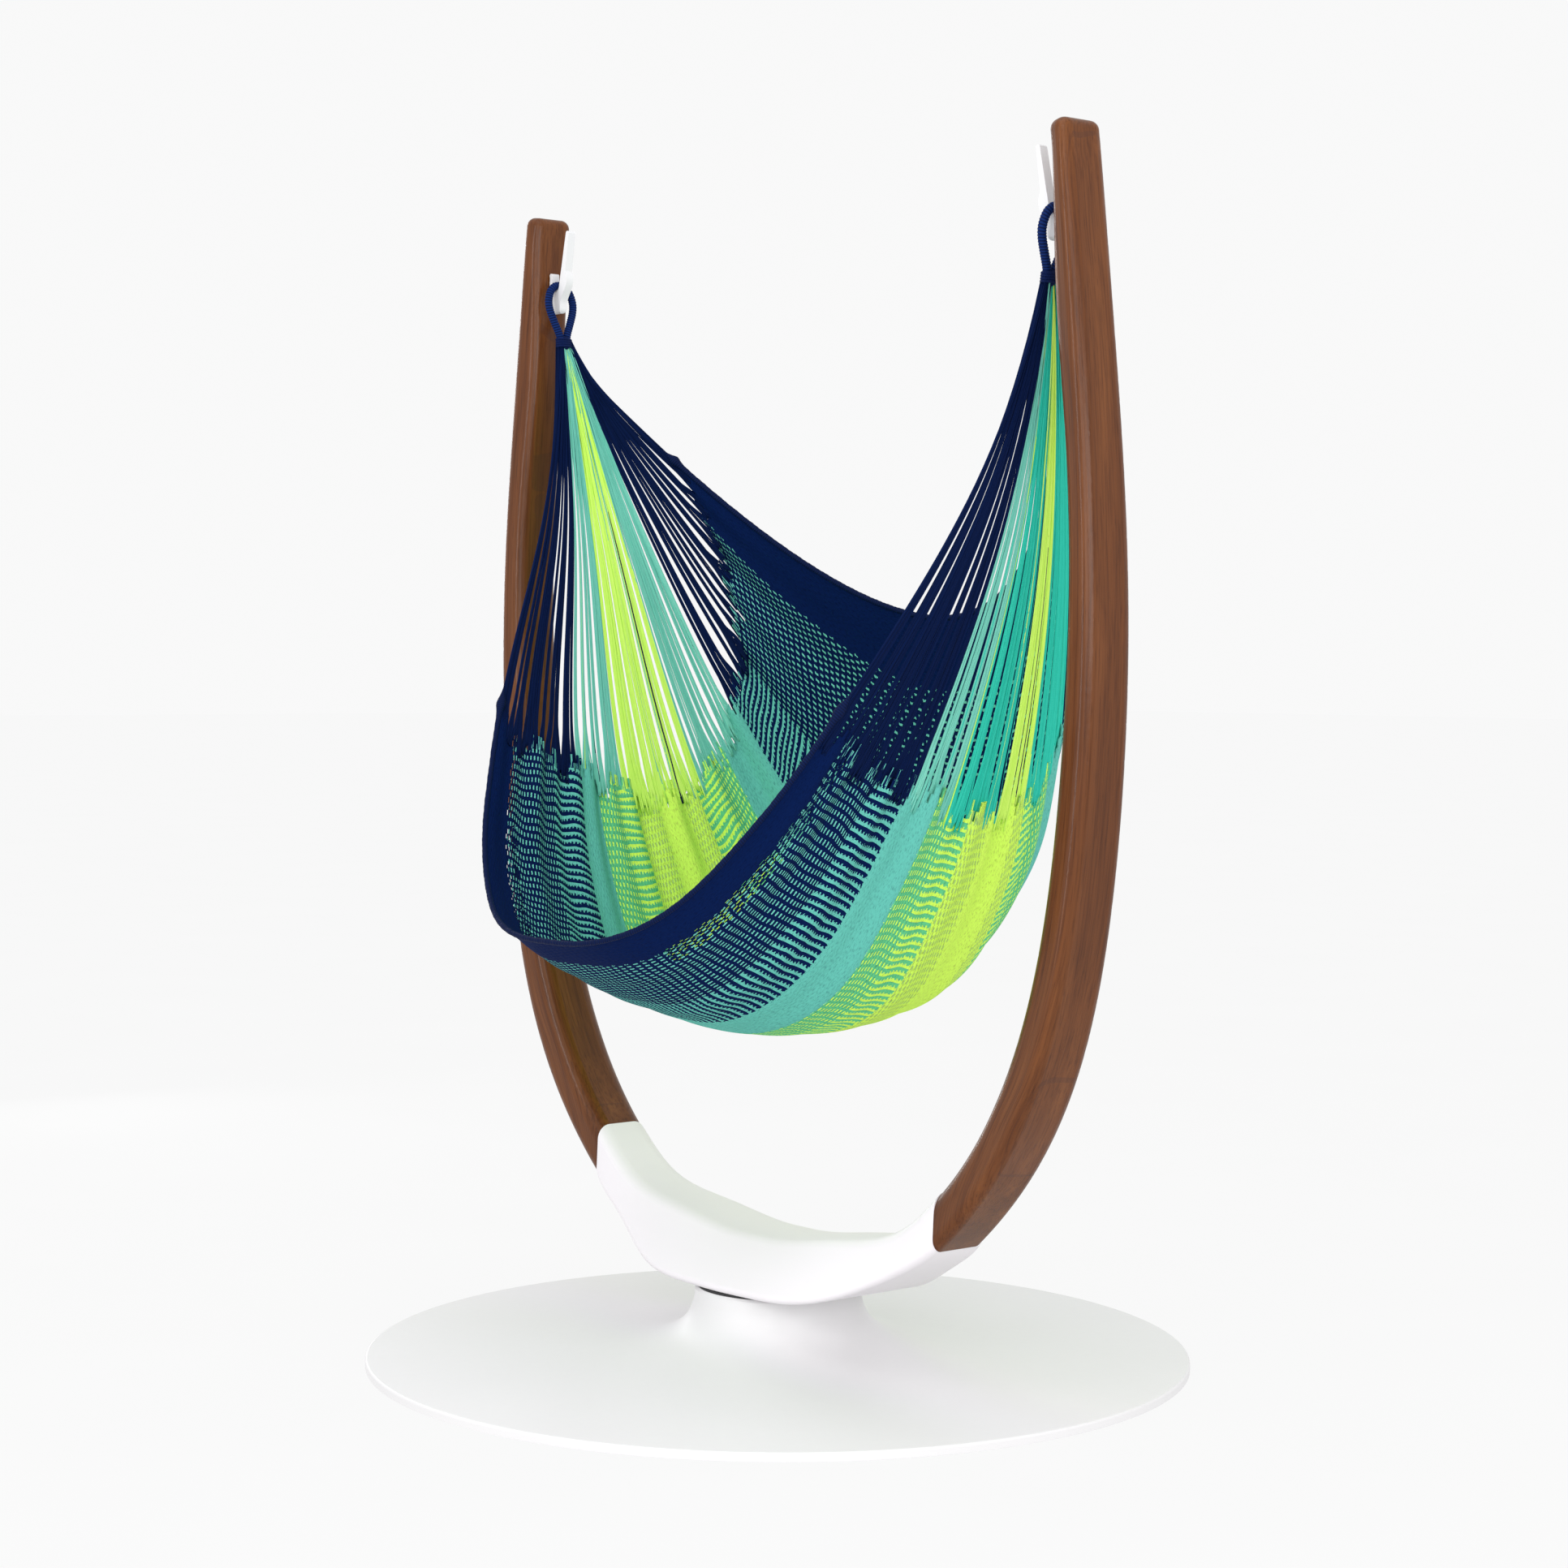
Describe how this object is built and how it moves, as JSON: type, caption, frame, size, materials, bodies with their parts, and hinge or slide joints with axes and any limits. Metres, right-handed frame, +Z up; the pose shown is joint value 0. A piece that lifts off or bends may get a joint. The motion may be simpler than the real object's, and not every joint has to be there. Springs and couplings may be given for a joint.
{
  "type": "hammock chair on stand",
  "caption": "Woven string hammock chair hung by rope loops from hooks on two bent wooden arms, joined by a cast cradle that swivels on a weighted round floor disc.",
  "frame": {"origin": "on the floor, at the swivel's axis, under the middle of the disc", "axes": "+Z up, +X towards the right arm as the sitter's picture shows it, -Y towards the way the sitter faces"},
  "size_m": [1.5538, 1.4, 2.0107],
  "materials": {
    "base_paint": "satin white powder coat",
    "cradle_paint": "satin white powder coat on a cast body",
    "hook_paint": "satin white powder coat",
    "steel": "zinc plated",
    "bright_steel": "ground",
    "brass": "machined",
    "rubber": "matt",
    "bush_plastic": "moulded",
    "wood": "satin oil on laminated hardwood",
    "navy_rope": "braided cord",
    "strings": "twisted cotton strings",
    "weave": "woven cotton net in bands of colour"
  },
  "bodies": {
    "base": {"base_shell": "base_paint", "ballast_plate": "steel", "hem_screws": "steel", "floor_pads": "rubber", "pedestal": "steel", "pedestal_studs": "steel", "pedestal_nuts": "steel", "lower_race": "bright_steel", "lower_race_bolts": "steel", "spindle_bush": "bush_plastic", "dust_seal": "rubber"},
    "bearing_cage": {"bearing_balls": "bright_steel", "ball_cage": "bush_plastic"},
    "frame": {"upper_race": "bright_steel", "upper_race_bolts": "steel", "spindle": "steel", "thrust_washer": "steel", "lock_nut": "steel", "cradle": "cradle_paint", "tongue_left": "steel", "tongue_right": "steel", "joint_bolts_left": "steel", "joint_bolts_right": "steel", "arm_left": "wood", "arm_right": "wood", "hook_left": "hook_paint", "hook_right": "hook_paint", "hook_studs": "steel", "hook_inserts": "brass", "hook_pins": "steel"},
    "hammock": {"loop_left": "navy_rope", "loop_right": "navy_rope", "whipping_left": "navy_rope", "whipping_right": "navy_rope", "gather_left": "strings", "gather_right": "strings", "fan_left": "strings", "fan_right": "strings", "woven_bed": "weave", "front_band": "weave"}
  },
  "joints": [
    {"name": "swivel", "type": "hinge", "parent": "base", "child": "frame", "pos_m": [0, 0, 0.117], "axis": [0, 0, 1], "continuous": true},
    {"name": "cage_spin", "type": "hinge", "parent": "base", "child": "bearing_cage", "pos_m": [0, 0, 0.117], "axis": [0, 0, 1], "continuous": true},
    {"name": "hammock_swing", "type": "hinge", "parent": "frame", "child": "hammock", "pos_m": [0, 0, 1.8573], "axis": [1, 0, 0], "range_deg": [-15, 15]}
  ],
  "couplings": [
    {"joint": "cage_spin", "follows": "swivel", "ratio": 0.5}
  ]
}
